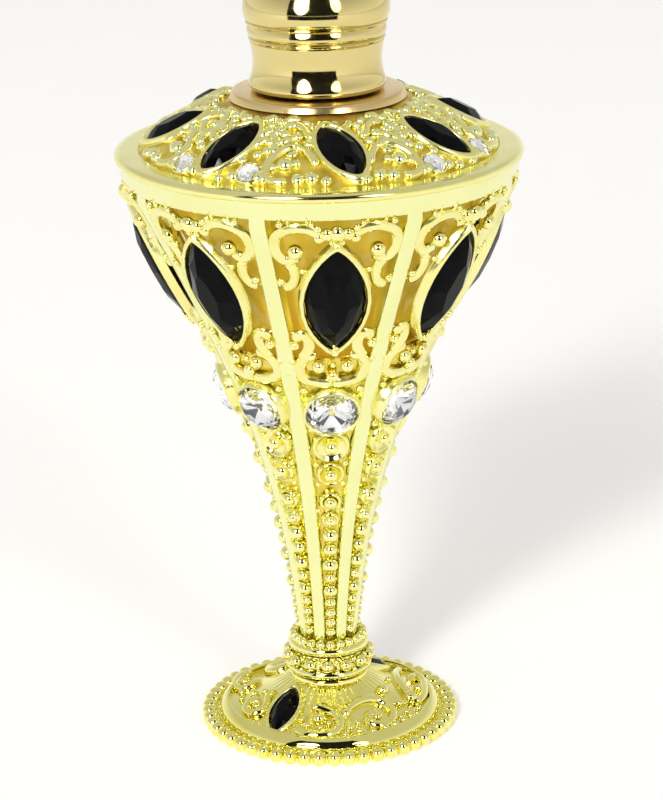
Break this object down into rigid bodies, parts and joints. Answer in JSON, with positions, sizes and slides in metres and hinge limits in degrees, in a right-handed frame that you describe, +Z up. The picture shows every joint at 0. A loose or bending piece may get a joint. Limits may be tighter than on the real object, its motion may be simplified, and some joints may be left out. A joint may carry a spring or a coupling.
{
  "type": "decorative bottle",
  "caption": "Standing perfume oil bottle: a cast openwork cone on a beaded foot, set with black and clear stones, with a domed push-fit stopper and dabber rod.",
  "frame": {"origin": "centre of the foot's underside, on the surface that the bottle stands on", "axes": "+Z up along the bottle's axis; -Y faces the viewer of the picture and +X is to the viewer's right"},
  "size_m": [0.048, 0.048, 0.1079],
  "materials": {
    "cast_gold": "bright gold plated casting",
    "champagne_metal": "champagne gold anodised, polished",
    "black_stone": "faceted and polished",
    "clear_crystal": "faceted, foil backed",
    "vial_glass": "clear blown glass",
    "white_plastic": "moulded",
    "washer_foam": "soft sealing washer",
    "screw_steel": "turned steel"
  },
  "bodies": {
    "bottle": {"foot": "cast_gold", "stem_knop": "cast_gold", "body_shell": "cast_gold", "shoulder": "cast_gold", "foot_screw": "screw_steel", "glass_vial": "vial_glass", "neck_flange": "champagne_metal", "foot_stone_1": "black_stone", "foot_stone_2": "black_stone", "body_stone_1": "black_stone", "body_crystal_1": "clear_crystal", "shoulder_stone_1": "black_stone", "shoulder_crystal_1": "clear_crystal", "body_stone_2": "black_stone", "body_crystal_2": "clear_crystal", "shoulder_stone_2": "black_stone", "shoulder_crystal_2": "clear_crystal", "body_stone_3": "black_stone", "body_crystal_3": "clear_crystal", "shoulder_stone_3": "black_stone", "shoulder_crystal_3": "clear_crystal", "body_stone_4": "black_stone", "body_crystal_4": "clear_crystal", "shoulder_stone_4": "black_stone", "shoulder_crystal_4": "clear_crystal", "body_stone_5": "black_stone", "body_crystal_5": "clear_crystal", "shoulder_stone_5": "black_stone", "shoulder_crystal_5": "clear_crystal", "body_stone_6": "black_stone", "body_crystal_6": "clear_crystal", "shoulder_stone_6": "black_stone", "shoulder_crystal_6": "clear_crystal", "body_stone_7": "black_stone", "body_crystal_7": "clear_crystal", "shoulder_stone_7": "black_stone", "shoulder_crystal_7": "clear_crystal", "body_stone_8": "black_stone", "body_crystal_8": "clear_crystal", "shoulder_stone_8": "black_stone", "shoulder_crystal_8": "clear_crystal"},
    "stopper_lift": {"seal_washer": "washer_foam"},
    "stopper": {"stopper_sleeve": "white_plastic", "dabber_rod": "vial_glass", "cap_shell": "champagne_metal", "cap_finial": "champagne_metal"}
  },
  "joints": [
    {"name": "cap_lift", "type": "slide", "parent": "bottle", "child": "stopper_lift", "axis": [0, 0, 1], "range_m": [0, 0.033]},
    {"name": "cap_turn", "type": "hinge", "parent": "stopper_lift", "child": "stopper", "pos_m": [0, 0, 0.087], "axis": [0, 0, 1], "continuous": true}
  ]
}
